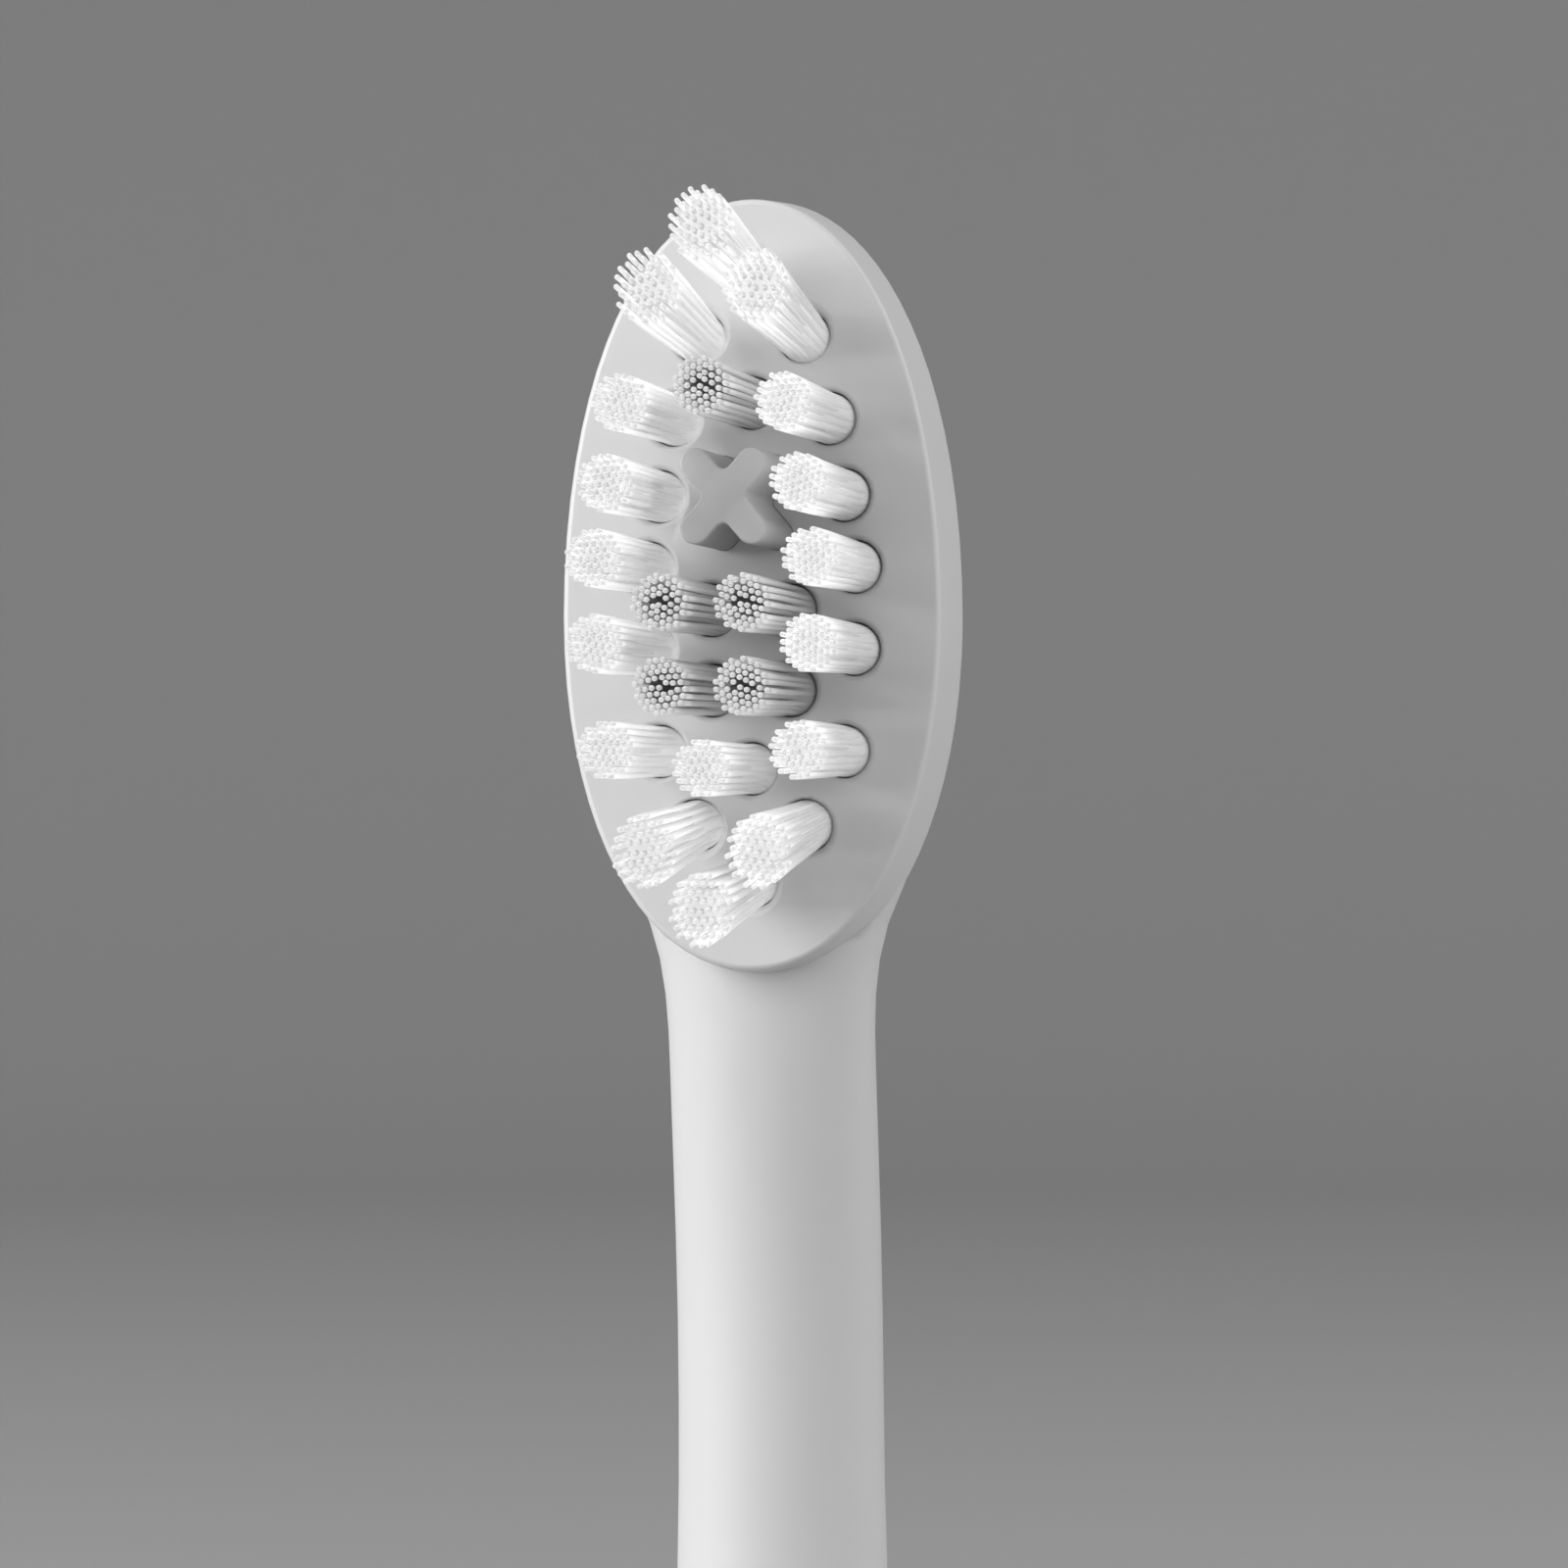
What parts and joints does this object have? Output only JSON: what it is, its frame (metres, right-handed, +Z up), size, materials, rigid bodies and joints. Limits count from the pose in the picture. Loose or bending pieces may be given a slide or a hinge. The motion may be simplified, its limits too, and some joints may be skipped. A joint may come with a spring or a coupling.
{
  "type": "electric toothbrush head",
  "caption": "Replacement electric toothbrush head: oval head with white and grey bristle tufts round a soft cross, on a slim neck with a socket for the drive shaft.",
  "frame": {"origin": "centre of the foot, at the mouth of the drive-shaft socket", "axes": "+Z up along the drive shaft towards the bristle head, -Y the way the bristles point, +X across the head"},
  "size_m": [0.0132, 0.0226, 0.078],
  "materials": {
    "white_body": "satin white moulding",
    "white_bristle": "translucent white nylon filament",
    "grey_bristle": "grey nylon filament",
    "grey_rubber": "matte soft rubber",
    "anchor_wire": "drawn flat wire",
    "sleeve_plastic": "natural stiff plastic",
    "spring_steel": "rolled spring steel",
    "ring_plastic": "pale grey moulding"
  },
  "bodies": {
    "root": {"base_ring": "ring_plastic", "grey_tuft_01": "grey_bristle", "grey_tuft_02": "grey_bristle", "grey_tuft_03": "grey_bristle", "grey_tuft_04": "grey_bristle", "grey_tuft_05": "grey_bristle", "head_body": "white_body", "polishing_cross": "grey_rubber", "shaft_sleeve": "sleeve_plastic", "spring_clip": "spring_steel", "tuft_anchors": "anchor_wire", "white_tuft_01": "white_bristle", "white_tuft_02": "white_bristle", "white_tuft_03": "white_bristle", "white_tuft_04": "white_bristle", "white_tuft_05": "white_bristle", "white_tuft_06": "white_bristle", "white_tuft_07": "white_bristle", "white_tuft_08": "white_bristle", "white_tuft_09": "white_bristle", "white_tuft_10": "white_bristle", "white_tuft_11": "white_bristle", "white_tuft_12": "white_bristle", "white_tuft_13": "white_bristle", "white_tuft_14": "white_bristle", "white_tuft_15": "white_bristle", "white_tuft_16": "white_bristle", "white_tuft_17": "white_bristle"}
  },
  "joints": []
}
